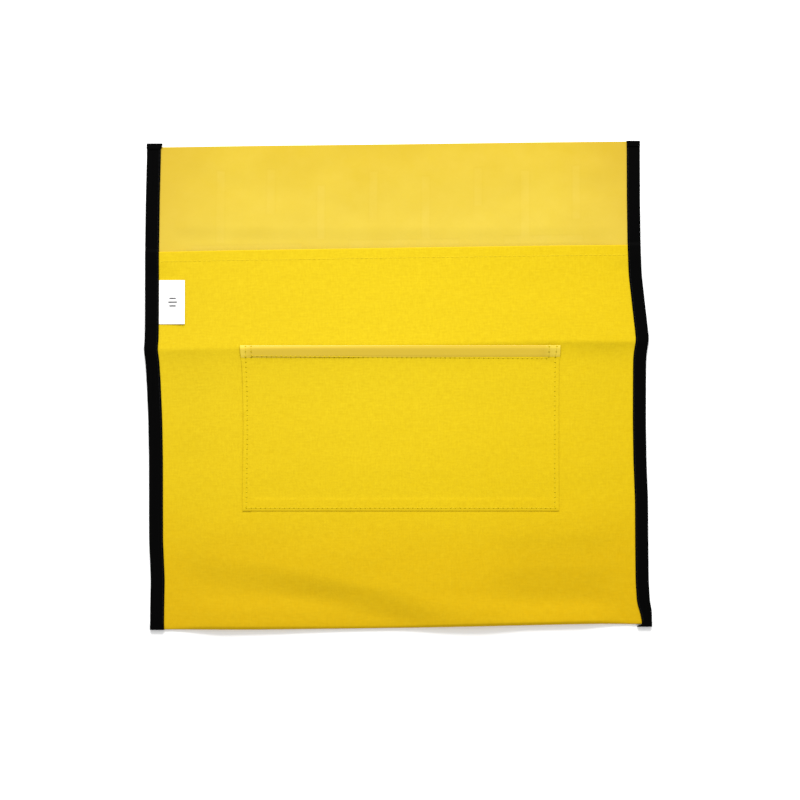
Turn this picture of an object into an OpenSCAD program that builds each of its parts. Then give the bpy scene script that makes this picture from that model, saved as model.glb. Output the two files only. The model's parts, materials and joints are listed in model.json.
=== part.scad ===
// Welding curtain screen: a flat sleeve of coated canvas, folded up at the bottom, bound down
// both sides with folded tape, with a patch pocket on the front and a sewn-in label.
// X runs across the screen, Y up its length and Z out of the surface that it lies on.
// The origin is the centre of the underside's outline. Millimetres throughout.

/* [Overall] */
// Width over both side bindings
overall_w = 453; // [440:1:520]
// Length from the bottom fold to the top of the bindings
overall_h = 440; // [438:0.5:444]

/* [Cloth] */
// Thickness of the coated canvas
cloth_t = 0.8; // [0.6:0.1:0.9]
// Clear height inside the sleeve between the back and the front
sleeve_gap = 5.4; // [5:0.1:6]
// Width beside each edge where the front lies flat on the back
flat_margin = 36.5; // [34:0.5:38]
// Width of the slope between that flat margin and the raised middle
slope_w = 40; // [30:1:42]
// How far the doubled cloth stands out in the bottom fold
fold_depth = 4; // [3:0.5:5]

/* [Folds] */
// Distance of the crease across the middle from the bottom fold
crease_at = 256.1; // [254:0.1:258]
// Distance of the sleeve's mouth from the bottom fold
mouth_at = 343.6; // [340:0.1:346]
// Distance of the flap's fold line from the bottom fold
flap_fold_at = 353; // [352:0.5:355]
// Half of the gap left between two stretches that fold against each other
fold_gap = 0.3; // [0.2:0.1:0.5]

/* [Binding] */
// Width of the folded binding tape on each face
tape_w = 12.7; // [10:0.1:13]
// Thickness of the binding tape
tape_t = 0.8; // [0.6:0.1:0.9]

/* [Hems and pocket] */
// Depth of the hem turned in at the mouth
mouth_hem_h = 10.5; // [8:0.5:14]
// Width of the patch pocket
pocket_w = 285.4; // [240:0.2:290]
// Height of the patch pocket
pocket_h = 148.5; // [120:0.5:160]
// Distance of the pocket's centre to the right of the middle
pocket_shift = 2.7; // [0:0.1:4]
// Distance of the pocket's top edge below the crease
pocket_drop = 0.7; // [0.6:0.1:4]
// Depth of the pocket's hem, turned over to the outside
pocket_hem_h = 10.8; // [8:0.2:14]
// Width of cloth turned under along the pocket's other edges
turning_w = 10; // [8:0.5:12]

/* [Label] */
// Width of the label that shows beside the left binding
label_w = 22; // [15:0.5:22]
// Height of the label
label_h = 39.5; // [30:0.5:42]
// Thickness of the label
label_t = 0.5; // [0.3:0.1:0.6]
// Distance of the label's lower edge above the crease
label_up = 19; // [15:0.5:30]

/* [Stitches] */
// Distance from one stitch to the next
stitch_pitch = 4.3; // [4:0.1:6]
// Visible length of one stitch
stitch_l = 3.2; // [2.4:0.1:3.4]
// Thickness of the thread across the seam
thread_w = 0.5; // [0.4:0.1:0.8]
// How far the thread stands above the cloth
thread_h = 0.25; // [0.2:0.05:0.4]

/* [Hidden] */

canvas_colour = [0.93, 0.76, 0.10];
coating_colour = [0.95, 0.83, 0.26];
tape_colour = [0.03, 0.03, 0.03];
thread_colour = [0.85, 0.68, 0.12];
black_thread_colour = [0.06, 0.06, 0.06];
label_colour = [0.97, 0.97, 0.95];
mark_colour = [0.25, 0.25, 0.27];

// Across the width
edge_x = overall_w / 2;
edge_gap = 0.3;
cloth_edge_x = edge_x - tape_t - edge_gap;
tape_inner_x = edge_x - tape_w;
flat_x = edge_x - flat_margin;
plateau_x = flat_x - slope_w;
hem_half_w = plateau_x + slope_w * 0.7;
slope_steps = 10;

// Along the length
bottom_y = -overall_h / 2;
top_y = overall_h / 2;
fold_y = bottom_y + fold_depth;
crease_y = bottom_y + crease_at;
mouth_y = bottom_y + mouth_at;
flap_fold_y = bottom_y + flap_fold_at;
flap_top_y = top_y - 2;
tape_end_gap = 0.4;
tape_bottom_y = bottom_y + tape_end_gap;
tape_top_y = top_y - tape_end_gap;

// Up through the layers, each value being the underside of what it names
back_z = tape_t;
front_z = back_z + cloth_t;
raised_z = front_z + sleeve_gap;
turning_z = raised_z + cloth_t;
pocket_z = turning_z + cloth_t;
pocket_hem_z = pocket_z + cloth_t;
pocket_top_z = pocket_hem_z + cloth_t;
two_layer_top_z = front_z + cloth_t;

// Pocket outline
pocket_x0 = pocket_shift - pocket_w / 2;
pocket_x1 = pocket_shift + pocket_w / 2;
pocket_y1 = crease_y - pocket_drop;
pocket_y0 = pocket_y1 - pocket_h;
side_stitch_in = 3.8;
bottom_stitch_in = 2.3;
hem_stitch_in = 1.5;
left_tack_spacing = 5;
right_tack_spacing = 7;

// Small pieces
label_gap = 0.4;
label_lift = 0.2;
mark_t = 0.1;
tuck_h = 5;
tuck_over = 1.6;
binding_stitch_in = 1.6;

function clamp(v) = min(1, max(0, v));

// How far the front stands above its flat margin at a distance x from the middle
function lift(x) = sleeve_gap * (0.5 - 0.5 * cos(180 * clamp((flat_x - abs(x)) / slope_w)));

// Places across one half where the front's outline needs a point, from the middle outwards
function half_stations(half_w) = concat(
    [for (i = [0:slope_steps])
        let (x = plateau_x + slope_w * i / slope_steps)
            if (x < half_w - 0.5) x],
    [half_w]
);

// The same places on both sides, from left to right
function stations(half_w) = let (right = half_stations(half_w), n = len(right))
    concat([for (i = [n - 1:-1:0]) -right[i]], right);

// A box given by its lowest and highest x, y and z
module block(x, y, z) {
    translate([x[0], y[0], z[0]])
        cube([x[1] - x[0], y[1] - y[0], z[1] - z[0]]);
}

// Puts what is drawn for the right on the side asked for: -1 is left, 1 is right
module on_side(side) {
    if (side < 0)
        mirror([1, 0, 0]) children();
    else
        children();
}

// A layer of cloth that follows the front's raised shape
module raised_layer(half_w, underside, y) {
    xs = stations(half_w);
    lower = [for (x = xs) [x, underside + lift(x)]];
    upper = [for (i = [len(xs) - 1:-1:0]) [xs[i], underside + cloth_t + lift(xs[i])]];
    translate([0, y[1], 0])
        rotate([90, 0, 0])
            linear_extrude(y[1] - y[0])
                polygon(concat(lower, upper));
}

// Half of an upright oval ring, as seen along the width, that joins the back to the front
function ring_section(x, steps) = let (
    top = two_layer_top_z + lift(x),
    middle = (top + back_z) / 2,
    outer = (top - back_z) / 2,
    inner = max(outer - cloth_t, 0.05)
) concat(
    [for (i = [0:steps]) let (a = 180 * i / steps)
        [x, fold_y - fold_depth * sin(a), middle - outer * cos(a)]],
    [for (i = [steps:-1:0]) let (a = 180 * i / steps)
        [x, fold_y - (fold_depth - cloth_t) * sin(a), middle - inner * cos(a)]]
);

// A solid through a row of sections that all have the same number of points
module loft(sections) {
    n = len(sections[0]);
    m = len(sections);
    sides = [for (i = [0:m - 2]) for (j = [0:n - 1])
        let (a = i * n + j, b = i * n + (j + 1) % n)
        each [[a, b, b + n], [a, b + n, a + n]]];
    half = n / 2;
    first = [for (j = [0:half - 2]) each [[j, n - 1 - j, j + 1], [j + 1, n - 1 - j, n - 2 - j]]];
    base = (m - 1) * n;
    last = [for (f = first) [f[2] + base, f[1] + base, f[0] + base]];
    polyhedron(concat([for (s = sections) each s]), concat(sides, first, last));
}

// Folded tape over one side edge: a leg on each face and a wall round the edge
module binding(side, y, upper_leg_z) {
    on_side(side) {
        block([tape_inner_x, edge_x], y, [0, tape_t]);
        block([tape_inner_x, edge_x], y, [upper_leg_z, upper_leg_z + tape_t]);
        block([edge_x - tape_t, edge_x], y, [0, upper_leg_z + tape_t]);
    }
}

// A row of stitches along Y that sits on a surface at height z
module stitches_along_y(x, y, z) {
    count = floor((y[1] - y[0]) / stitch_pitch);
    start = y[0] + (y[1] - y[0] - (count - 1) * stitch_pitch - stitch_l) / 2;
    for (i = [0:count - 1])
        translate([x - thread_w / 2, start + i * stitch_pitch, z])
            cube([thread_w, stitch_l, thread_h]);
}

// A row of stitches along X that sits on a surface at height z
module stitches_along_x(x, y, z) {
    count = floor((x[1] - x[0]) / stitch_pitch);
    start = x[0] + (x[1] - x[0] - (count - 1) * stitch_pitch - stitch_l) / 2;
    for (i = [0:count - 1])
        translate([start + i * stitch_pitch, y - thread_w / 2, z])
            cube([stitch_l, thread_w, thread_h]);
}

module binding_stitches(side, y, z) {
    on_side(side)
        stitches_along_y(tape_inner_x + binding_stitch_in, y, z);
}

// Lower half, from the bottom fold to the crease

lower_y = [fold_y, crease_y - fold_gap];

module back_panel_lower() {
    color(canvas_colour)
        block([-cloth_edge_x, cloth_edge_x], lower_y, [back_z, front_z]);
}

module front_panel_lower() {
    color(canvas_colour)
        raised_layer(cloth_edge_x, front_z, lower_y);
}

module bottom_fold() {
    arc_steps = 8;
    color(canvas_colour)
        loft([for (x = stations(tape_inner_x - edge_gap)) ring_section(x, arc_steps)]);
}

lower_tape_y = [tape_bottom_y, crease_y - fold_gap];

module left_binding_lower() {
    color(tape_colour)
        binding(-1, lower_tape_y, two_layer_top_z);
}

module right_binding_lower() {
    color(tape_colour)
        binding(1, lower_tape_y, two_layer_top_z);
}

lower_stitch_y = [tape_bottom_y + tuck_h, crease_y - fold_gap];

module left_binding_lower_stitches() {
    color(black_thread_colour)
        binding_stitches(-1, lower_stitch_y, two_layer_top_z + tape_t);
}

module right_binding_lower_stitches() {
    color(black_thread_colour)
        binding_stitches(1, lower_stitch_y, two_layer_top_z + tape_t);
}

// The tape's end turned back over itself at the bottom corner
module bottom_tuck(side) {
    top = two_layer_top_z + tape_t;
    y = [bottom_y, bottom_y + tuck_h - tape_end_gap];
    on_side(side)
        block([tape_inner_x - tuck_over, edge_x], y, [top, top + tape_t]);
}

module left_binding_bottom_tuck() {
    color(tape_colour)
        bottom_tuck(-1);
}

module right_binding_bottom_tuck() {
    color(tape_colour)
        bottom_tuck(1);
}

// Patch pocket on the front

module pocket_panel() {
    color(canvas_colour)
        block([pocket_x0, pocket_x1], [pocket_y0, pocket_y1], [pocket_z, pocket_hem_z]);
}

pocket_turning_y = [pocket_y0 + turning_w, pocket_y1];

module pocket_left_turning() {
    color(coating_colour)
        block([pocket_x0, pocket_x0 + turning_w], pocket_turning_y, [turning_z, pocket_z]);
}

module pocket_right_turning() {
    color(coating_colour)
        block([pocket_x1 - turning_w, pocket_x1], pocket_turning_y, [turning_z, pocket_z]);
}

module pocket_bottom_turning() {
    color(coating_colour)
        block([pocket_x0, pocket_x1], [pocket_y0, pocket_y0 + turning_w], [turning_z, pocket_z]);
}

module pocket_top_hem() {
    color(coating_colour)
        block([pocket_x0, pocket_x1], [pocket_y1 - pocket_hem_h, pocket_y1], [pocket_hem_z, pocket_top_z]);
}

module pocket_hem_stitches() {
    x0 = pocket_x0 + side_stitch_in + left_tack_spacing + 1;
    x1 = pocket_x1 - side_stitch_in - right_tack_spacing - 1;
    color(thread_colour)
        stitches_along_x([x0, x1], pocket_y1 - pocket_hem_h + hem_stitch_in, pocket_top_z);
}

pocket_side_stitch_y = [pocket_y0 + bottom_stitch_in + 1, pocket_y1 - pocket_hem_h];

module pocket_left_stitches() {
    color(thread_colour)
        stitches_along_y(pocket_x0 + side_stitch_in, pocket_side_stitch_y, pocket_hem_z);
}

module pocket_right_stitches() {
    color(thread_colour)
        stitches_along_y(pocket_x1 - side_stitch_in, pocket_side_stitch_y, pocket_hem_z);
}

module pocket_bottom_stitches() {
    inset = side_stitch_in - thread_w;
    color(thread_colour)
        stitches_along_x([pocket_x0 + inset, pocket_x1 - inset], pocket_y0 + bottom_stitch_in, pocket_hem_z);
}

// Two short rows side by side that hold one end of the pocket's hem
module tack(x, inner_x) {
    for (row_x = [x, inner_x])
        stitches_along_y(row_x, [pocket_y1 - pocket_hem_h, pocket_y1], pocket_top_z);
}

module pocket_left_tack() {
    x = pocket_x0 + side_stitch_in;
    color(thread_colour)
        tack(x, x + left_tack_spacing);
}

module pocket_right_tack() {
    x = pocket_x1 - side_stitch_in;
    color(thread_colour)
        tack(x, x - right_tack_spacing);
}

// Upper half, from the crease to the flap's fold line

upper_y = [crease_y + fold_gap, flap_fold_y - fold_gap];

module back_panel_upper() {
    color(canvas_colour)
        block([-cloth_edge_x, cloth_edge_x], upper_y, [back_z, front_z]);
}

module front_panel_upper() {
    color(canvas_colour)
        raised_layer(cloth_edge_x, front_z, [crease_y + fold_gap, mouth_y]);
}

module front_mouth_hem() {
    color(coating_colour)
        raised_layer(hem_half_w, front_z - cloth_t, [mouth_y - mouth_hem_h, mouth_y]);
}

module front_mouth_hem_stitches() {
    color(thread_colour)
        stitches_along_x([-plateau_x, plateau_x], mouth_y - mouth_hem_h + hem_stitch_in, turning_z);
}

// The tape steps down from two layers of cloth to one just above the mouth
module upper_binding(side) {
    step_y = mouth_y + tape_t;
    binding(side, [crease_y + fold_gap, step_y], two_layer_top_z);
    binding(side, [mouth_y, flap_fold_y - fold_gap], front_z);
}

module left_binding_upper() {
    color(tape_colour)
        upper_binding(-1);
}

module right_binding_upper() {
    color(tape_colour)
        upper_binding(1);
}

upper_stitch_y = [crease_y + fold_gap, mouth_y];

module left_binding_upper_stitches() {
    color(black_thread_colour)
        binding_stitches(-1, upper_stitch_y, two_layer_top_z + tape_t);
}

module right_binding_upper_stitches() {
    color(black_thread_colour)
        binding_stitches(1, upper_stitch_y, two_layer_top_z + tape_t);
}

// Flap, the single layer above the mouth

flap_y = [flap_fold_y + fold_gap, flap_top_y];
flap_tape_y = [flap_fold_y + fold_gap, tape_top_y];

module top_flap() {
    color(coating_colour)
        block([-cloth_edge_x, cloth_edge_x], flap_y, [back_z, front_z]);
}

module left_binding_flap() {
    color(tape_colour)
        binding(-1, flap_tape_y, front_z);
}

module right_binding_flap() {
    color(tape_colour)
        binding(1, flap_tape_y, front_z);
}

flap_stitch_y = [flap_fold_y + fold_gap, tape_top_y - tuck_h];

module left_binding_flap_stitches() {
    color(black_thread_colour)
        binding_stitches(-1, flap_stitch_y, front_z + tape_t);
}

module right_binding_flap_stitches() {
    color(black_thread_colour)
        binding_stitches(1, flap_stitch_y, front_z + tape_t);
}

// The tape's end turned back over itself at the top corner
module top_tuck(side) {
    tuck_z = front_z + tape_t;
    y = [top_y - tuck_h + tape_end_gap, top_y];
    on_side(side)
        block([tape_inner_x - tuck_over, edge_x], y, [tuck_z, tuck_z + tape_t]);
}

module left_binding_top_tuck() {
    color(tape_colour)
        top_tuck(-1);
}

module right_binding_top_tuck() {
    color(tape_colour)
        top_tuck(1);
}

// Label, caught in the left binding's seam along one edge

label_x0 = -tape_inner_x + label_gap;
label_y0 = crease_y + label_up;
label_z = two_layer_top_z + label_lift;

module label() {
    x = [label_x0, label_x0 + label_w];
    y = [label_y0, label_y0 + label_h];
    color(label_colour)
        block(x, y, [label_z, label_z + label_t]);
}

// Three short bars in the middle of the label
module label_mark() {
    bar_w = 8;
    bar_h = 1.6;
    bar_pitch = 3.4;
    centre_x = label_x0 + label_w / 2;
    centre_y = label_y0 + label_h / 2;
    top = label_z + label_t;
    color(mark_colour)
        for (i = [-1:1]) {
            half_w = (bar_w - abs(i) * 2) / 2;
            low_y = centre_y + i * bar_pitch - bar_h / 2;
            x = [centre_x - half_w, centre_x + half_w];
            block(x, [low_y, low_y + bar_h], [top, top + mark_t]);
        }
}

back_panel_lower();
front_panel_lower();
bottom_fold();
left_binding_lower();
right_binding_lower();
left_binding_lower_stitches();
right_binding_lower_stitches();
left_binding_bottom_tuck();
right_binding_bottom_tuck();
pocket_panel();
pocket_left_turning();
pocket_right_turning();
pocket_bottom_turning();
pocket_top_hem();
pocket_hem_stitches();
pocket_left_stitches();
pocket_right_stitches();
pocket_bottom_stitches();
pocket_left_tack();
pocket_right_tack();
back_panel_upper();
front_panel_upper();
front_mouth_hem();
front_mouth_hem_stitches();
left_binding_upper();
right_binding_upper();
left_binding_upper_stitches();
right_binding_upper_stitches();
top_flap();
left_binding_flap();
right_binding_flap();
left_binding_flap_stitches();
right_binding_flap_stitches();
left_binding_top_tuck();
right_binding_top_tuck();
label();
label_mark();
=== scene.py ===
"""Looks of the welding curtain screen: a soft sleeve of coated canvas lying flat, built round the frame.

Shapes are worked out in millimetres, with X across, Y along and Z up, and put into meshes in metres.
"""

import json
import math

import bpy
import numpy as np
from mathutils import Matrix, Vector


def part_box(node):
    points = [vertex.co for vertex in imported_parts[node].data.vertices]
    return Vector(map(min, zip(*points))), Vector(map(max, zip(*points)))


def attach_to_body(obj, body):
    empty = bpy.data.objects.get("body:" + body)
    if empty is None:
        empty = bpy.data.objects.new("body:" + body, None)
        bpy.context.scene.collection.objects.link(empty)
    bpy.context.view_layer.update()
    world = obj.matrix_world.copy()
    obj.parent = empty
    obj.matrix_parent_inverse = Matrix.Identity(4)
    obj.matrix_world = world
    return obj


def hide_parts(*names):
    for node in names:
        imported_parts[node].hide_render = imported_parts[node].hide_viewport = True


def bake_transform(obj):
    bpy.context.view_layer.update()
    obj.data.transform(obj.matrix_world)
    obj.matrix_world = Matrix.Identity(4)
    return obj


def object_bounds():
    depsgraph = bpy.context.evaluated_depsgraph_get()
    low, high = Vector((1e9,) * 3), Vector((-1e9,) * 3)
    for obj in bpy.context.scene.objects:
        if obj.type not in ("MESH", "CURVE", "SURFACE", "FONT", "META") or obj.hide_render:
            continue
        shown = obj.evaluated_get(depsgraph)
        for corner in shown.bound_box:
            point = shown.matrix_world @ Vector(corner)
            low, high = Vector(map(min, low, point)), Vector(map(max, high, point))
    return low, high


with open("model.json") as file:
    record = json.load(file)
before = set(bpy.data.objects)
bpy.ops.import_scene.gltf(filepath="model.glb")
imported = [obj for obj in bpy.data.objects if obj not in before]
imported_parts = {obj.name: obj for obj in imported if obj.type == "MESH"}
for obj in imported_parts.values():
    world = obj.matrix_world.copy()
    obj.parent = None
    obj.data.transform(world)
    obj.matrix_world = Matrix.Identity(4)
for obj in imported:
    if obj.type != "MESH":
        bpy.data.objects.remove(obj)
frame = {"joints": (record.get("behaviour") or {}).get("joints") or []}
cad_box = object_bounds()

MM = 0.001
UV_UNIT = 100.0  # millimetres to one unit of UV


def node_box(name):
    """Lowest and highest corner of a CAD node, in millimetres."""
    low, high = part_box(name)
    return np.array(low) / MM, np.array(high) / MM


def joint_place(name):
    """A joint's position in millimetres."""
    found = next(j for j in frame["joints"] if j["name"] == name)
    return np.array(found["pos_m"]) / MM


# ---------------------------------------------------------------- sizes from the frame

back_low, back_high = node_box("back_panel_lower")
TAPE_T = back_low[2]
CLOTH_T = back_high[2] - back_low[2]
TAPE_W = node_box("left_binding_lower")[1][0] - node_box("left_binding_lower")[0][0]
FRONT_TOP = node_box("front_panel_lower")[1][2]
MARGIN_TOP = node_box("front_panel_lower")[0][2] + CLOTH_T
SLEEVE_GAP = FRONT_TOP - MARGIN_TOP
HALF_W = -node_box("left_binding_lower")[0][0]
HALF_H = cad_box[1].y / MM
CREASE_Y = joint_place("crease_fold")[1]
FLAP_FOLD_Y = joint_place("flap_fold")[1]
MOUTH_Y = node_box("front_panel_upper")[1][1]
POCKET_LOW, POCKET_HIGH = node_box("pocket_panel")
POCKET_TOP = CREASE_Y - 0.2  # the hem's folded edge reaches the crease
POCKET_HEM_H = POCKET_HIGH[1] - node_box("pocket_top_hem")[0][1]
MOUTH_HEM_H = MOUTH_Y - node_box("front_mouth_hem")[0][1]
TURNING_W = node_box("pocket_left_turning")[1][0] - node_box("pocket_left_turning")[0][0]
LABEL_LOW, LABEL_HIGH = node_box("label")

CLOTH_INSET = 1.1  # from a binding's outer edge in to the cloth's raw side
CLOTH_END = HALF_H - 2  # where the bottom fold and the top edge lie in the cloth's own length
BACK_SPLIT_Y = 80.0  # where the back cloth and the tapes are divided, between the two fold lines
STITCH_PITCH = 4.3
FRONT_ORIGIN_V = BACK_SPLIT_Y + 2 * HALF_H  # cloth length from that split to y = 0 on the front


# ---------------------------------------------------------------- curves and heights

def smooth(t):
    """0 up to t = 0, 1 from t = 1 on, and a smooth rise between them."""
    t = np.clip(t, 0.0, 1.0)
    return t * t * (3 - 2 * t)


def soft_curve(points, blur):
    """A smooth function through a few given points, rounded off over about the blur."""
    at_points, values = zip(*points)
    at = np.arange(at_points[0] - 60, at_points[-1] + 60, 1.0)
    line = np.interp(at, at_points, values)
    reach = int(4 * blur)
    weights = np.exp(-0.5 * (np.arange(-reach, reach + 1) / blur) ** 2)
    soft = np.convolve(np.pad(line, reach, mode="edge"), weights / weights.sum(), mode="valid")
    return lambda v: np.interp(v, at, soft)


# Outer edge of each binding: x at a few places along y
left_edge = soft_curve([
    (-220, -222.9), (-202, -222.8), (-175, -222.3), (-139, -223.8), (-67, -223.9), (-31, -224.5),
    (5, -226.0), (24, -227.2), (32, -228.5), (41, -227.6), (60, -227.4), (122, -227.4),
    (167, -226.8), (207, -225.8), (220, -225.8),
], 3.0)
right_edge = soft_curve([
    (-220, 229.2), (-202, 229.2), (-195, 227.4), (-175, 226.3), (-139, 225.9), (-103, 225.7),
    (-67, 224.3), (-31, 223.8), (5, 223.9), (24, 224.0), (32, 224.8), (41, 226.5), (60, 224.4),
    (77, 222.5), (100, 220.0), (122, 219.1), (167, 218.5), (220, 218.3),
], 3.0)

# The cloth's cross lines: y at a few places along x
bottom_line = soft_curve([
    (-226, -219.8), (-133, -219.9), (-61, -219.2), (2, -218.4), (65, -217.1), (128, -215.7),
    (182, -214.5), (209, -215.0), (226, -215.4),
], 12)
crease_line = soft_curve([
    (-226, CREASE_Y - 4.2), (0, CREASE_Y - 0.2), (90, CREASE_Y + 2.4), (145, CREASE_Y + 4.3),
    (185, CREASE_Y + 3.4), (226, CREASE_Y + 3.9),
], 15)
mouth_line = soft_curve([(-226, MOUTH_Y - 3.6), (0, MOUTH_Y), (226, MOUTH_Y + 3.1)], 20)
top_line = soft_curve([(-226, 214.2), (-133, 215.7), (2, 217.2), (137, 219.0), (226, 219.8)], 20)

RIDGE_H = 3.0
RIDGE_ABOVE = 42.0
RIDGE_BELOW = 15.0
RIDGE_ROUND = 1.2


def ridge(x, y):
    """The stiff bend across the middle, gentle above its crest and steep below it."""
    t = y - crease_line(x)
    reach = np.where(t > 0, RIDGE_ABOVE, RIDGE_BELOW - 4.0 * x / HALF_W)
    return RIDGE_H * np.exp(-(np.sqrt(t * t + RIDGE_ROUND ** 2) - RIDGE_ROUND) / reach)


def edge_distance(x, y):
    """Distance inwards from the nearer binding's inner edge."""
    return np.minimum(x - left_edge(y), right_edge(y) - x) - TAPE_W


def rise(x, y, start=2.0, width=52.0):
    """0 beside a binding and 1 over the raised middle."""
    return smooth((edge_distance(x, y) - start) / width)


rng = np.random.default_rng(7)
RIPPLES = [
    (rng.uniform(0, 2 * math.pi), rng.uniform(16, 70), rng.uniform(-1, 1), rng.uniform(0.3, 1.0))
    for _ in range(26)
]


def ripple(x, y):
    """Small uneven waves of cloth that has been folded and handled, mostly across the width."""
    total = np.zeros(np.broadcast(x, y).shape)
    for phase, length, slant, size in RIPPLES:
        k = 2 * math.pi / length
        total = total + size * length / 70 * np.sin(k * (y + 0.45 * slant * x) + phase)
    return total / math.sqrt(len(RIPPLES))


# A step down that slants across the lower left, and a roll along the lower right
slant_line = soft_curve([
    (-226, -155), (-196, -161), (-151, -171), (-115, -175), (-61, -186), (2, -199), (56, -212),
], 12)
slant_depth = soft_curve([
    (-226, 1.0), (-151, 1.8), (-115, 2.5), (-61, 4.3), (2, 4.8), (40, 1.8), (70, 0),
], 10)
roll_profile = soft_curve([
    (-218, -1.8), (-211, -2.5), (-198, -3.8), (-193, -3.8), (-165, -1.2), (-147, -0.8),
    (-135, -0.1), (-120, 0.0), (0, 0.0),
], 2.5)


def waves(x, y):
    """How far the roll and the step change the front's height."""
    step = slant_depth(x) * (1 - smooth((y - slant_line(x) + 15) / 30))
    right = smooth((x - 70) / 50)
    return right * roll_profile(y) - step


def front_top(x, y):
    """Height of the front layer's outer face."""
    rolled_edge = (1 - smooth((y - bottom_line(x)) / 5)) * (1 - smooth((x - 50) / 60))
    swell = 0.9 * smooth((-186 - y) / 20) - 0.8 * rolled_edge
    body = SLEEVE_GAP + swell
    inner = rise(x, y) * body + rise(x, y, width=44) * waves(x, y)
    doubled = (1 - rise(x, y, 0, 26)) * 0.9 * smooth((y - mouth_line(x) + 24) / 16)
    return MARGIN_TOP + doubled + inner + 0.16 * rise(x, y, 0, 12) * ripple(x, y) + ridge(x, y)


def back_under(x, y):
    """Height of the back layer's underside, which rests on the floor away from the bindings."""
    sag = rise(x, y, 0, 30)
    above_mouth = smooth((y - MOUTH_Y - 6) / 14)
    lumps = above_mouth * sag * (0.5 + 0.28 * ripple(1.3 * x + 40, y))
    return TAPE_T - (TAPE_T - 0.15) * sag + np.maximum(lumps, 0) + ridge(x, y)


def place_y(x, v):
    """Where the cloth's own length v lies, from the bent cross lines."""
    known = [-CLOTH_END, CREASE_Y, MOUTH_Y, CLOTH_END]
    lines = [bottom_line, crease_line, mouth_line, top_line]
    shifts = [line(x) - place for line, place in zip(lines, known)]
    shift = np.zeros(np.broadcast(x, v).shape)
    for low, high, a, b in zip(known[:-1], known[1:], shifts[:-1], shifts[1:]):
        inside = (v >= low) & (v <= high)
        shift = np.where(inside, a + (b - a) * (v - low) / (high - low), shift)
    shift = np.where(v < known[0], shifts[0], shift)
    return v + np.where(v > known[-1], shifts[-1], shift)


def place_x(across, y):
    """x of the cloth at across, which runs from 0 at the left raw edge to 1 at the right one."""
    low = left_edge(y) + CLOTH_INSET
    return low + across * (right_edge(y) - CLOTH_INSET - low)


def spaced(start, end, step, fine=()):
    """Values from start to end about step apart, and closer near each fine (place, reach, step)."""
    values = [start]
    sign = 1 if end > start else -1
    while (end - values[-1]) * sign > 1e-9:
        here = values[-1]
        near = [s for place, reach, s in fine if abs(here - place) < reach]
        values.append(here + sign * min([step, *near]))
    values[-1] = end
    return np.array(values)


# ---------------------------------------------------------------- meshes

def new_object(name, vertices, faces, uvs, face_materials, materials):
    """A smooth mesh object from vertices and their UVs in millimetres, and a material index a face."""
    mesh = bpy.data.meshes.new(name)
    mesh.from_pydata((np.asarray(vertices) * MM).tolist(), [], [list(f) for f in faces])
    layer = mesh.uv_layers.new(name="UVMap")
    corner_vertex = np.zeros(len(mesh.loops), np.int32)
    mesh.loops.foreach_get("vertex_index", corner_vertex)
    flat = (np.asarray(uvs) / UV_UNIT)[corner_vertex].astype(np.float32)
    layer.data.foreach_set("uv", flat.ravel())
    for material in materials:
        mesh.materials.append(material)
    mesh.polygons.foreach_set("material_index", np.asarray(face_materials, np.int32))
    mesh.polygons.foreach_set("use_smooth", [True] * len(mesh.polygons))
    mesh.update()
    obj = bpy.data.objects.new(name, mesh)
    bpy.context.scene.collection.objects.link(obj)
    return obj


def sheet_mesh(name, middle, thickness, materials, uv):
    """A closed thin sheet round a grid of points middle[s, u]. Its outer face, on the side of du x ds,
    gets the first material, its inner face the second, and its cut edges the third."""
    rows, columns, _ = middle.shape
    along = np.gradient(middle, axis=0)
    across = np.gradient(middle, axis=1)
    normal = np.cross(across, along)
    normal /= np.linalg.norm(normal, axis=2, keepdims=True)
    outer = middle + normal * thickness / 2
    inner = middle - normal * thickness / 2
    vertices = np.concatenate([outer.reshape(-1, 3), inner.reshape(-1, 3)])
    uvs = np.concatenate([uv.reshape(-1, 2)] * 2)
    index = np.arange(rows * columns).reshape(rows, columns)
    base = rows * columns
    a, b, c, d = (q.ravel() for q in (index[:-1, :-1], index[:-1, 1:], index[1:, 1:], index[1:, :-1]))
    top = np.stack([a, b, c, d], axis=1)
    under = np.stack([d, c, b, a], axis=1) + base
    border = np.concatenate([index[0, :], index[1:, -1], index[-1, -2::-1], index[-2:0:-1, 0]])
    ahead = np.roll(border, -1)
    rim = np.stack([border, border + base, ahead + base, ahead], axis=1)
    faces = np.concatenate([top, under, rim])
    kinds = np.concatenate([np.full(len(top), 0), np.full(len(under), 1), np.full(len(rim), 2)])
    obj = new_object(name, vertices, faces, uvs, kinds, materials)
    mark_rim_sharp(obj, kinds)
    return obj


def mark_rim_sharp(obj, kinds):
    """Keeps the shading of the cut edges apart from the faces."""
    mesh = obj.data
    seen = {}
    for polygon in mesh.polygons:
        if kinds[polygon.index] == 2:
            for key in polygon.edge_keys:
                seen[key] = seen.get(key, 0) + 1
    sharp = mesh.attributes.new("sharp_edge", "BOOLEAN", "EDGE")
    flags = [seen.get(tuple(sorted(e.vertices)), 0) == 1 for e in mesh.edges]
    sharp.data.foreach_set("value", flags)


def arc_lengths(middle, axis):
    """Length along a grid of points from its start, at each of them."""
    steps = np.linalg.norm(np.diff(middle, axis=axis), axis=2)
    return np.concatenate([np.zeros_like(np.take(steps, [0], axis)), np.cumsum(steps, axis)], axis)


def cloth_uv(middle, across_positions, start):
    """UVs that run with the threads: the cut's width, and the length along the middle column."""
    lengths = arc_lengths(middle, 0)[:, middle.shape[1] // 2] + start
    u, v = np.meshgrid(across_positions, lengths)
    return np.stack([u, v], axis=2)


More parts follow.
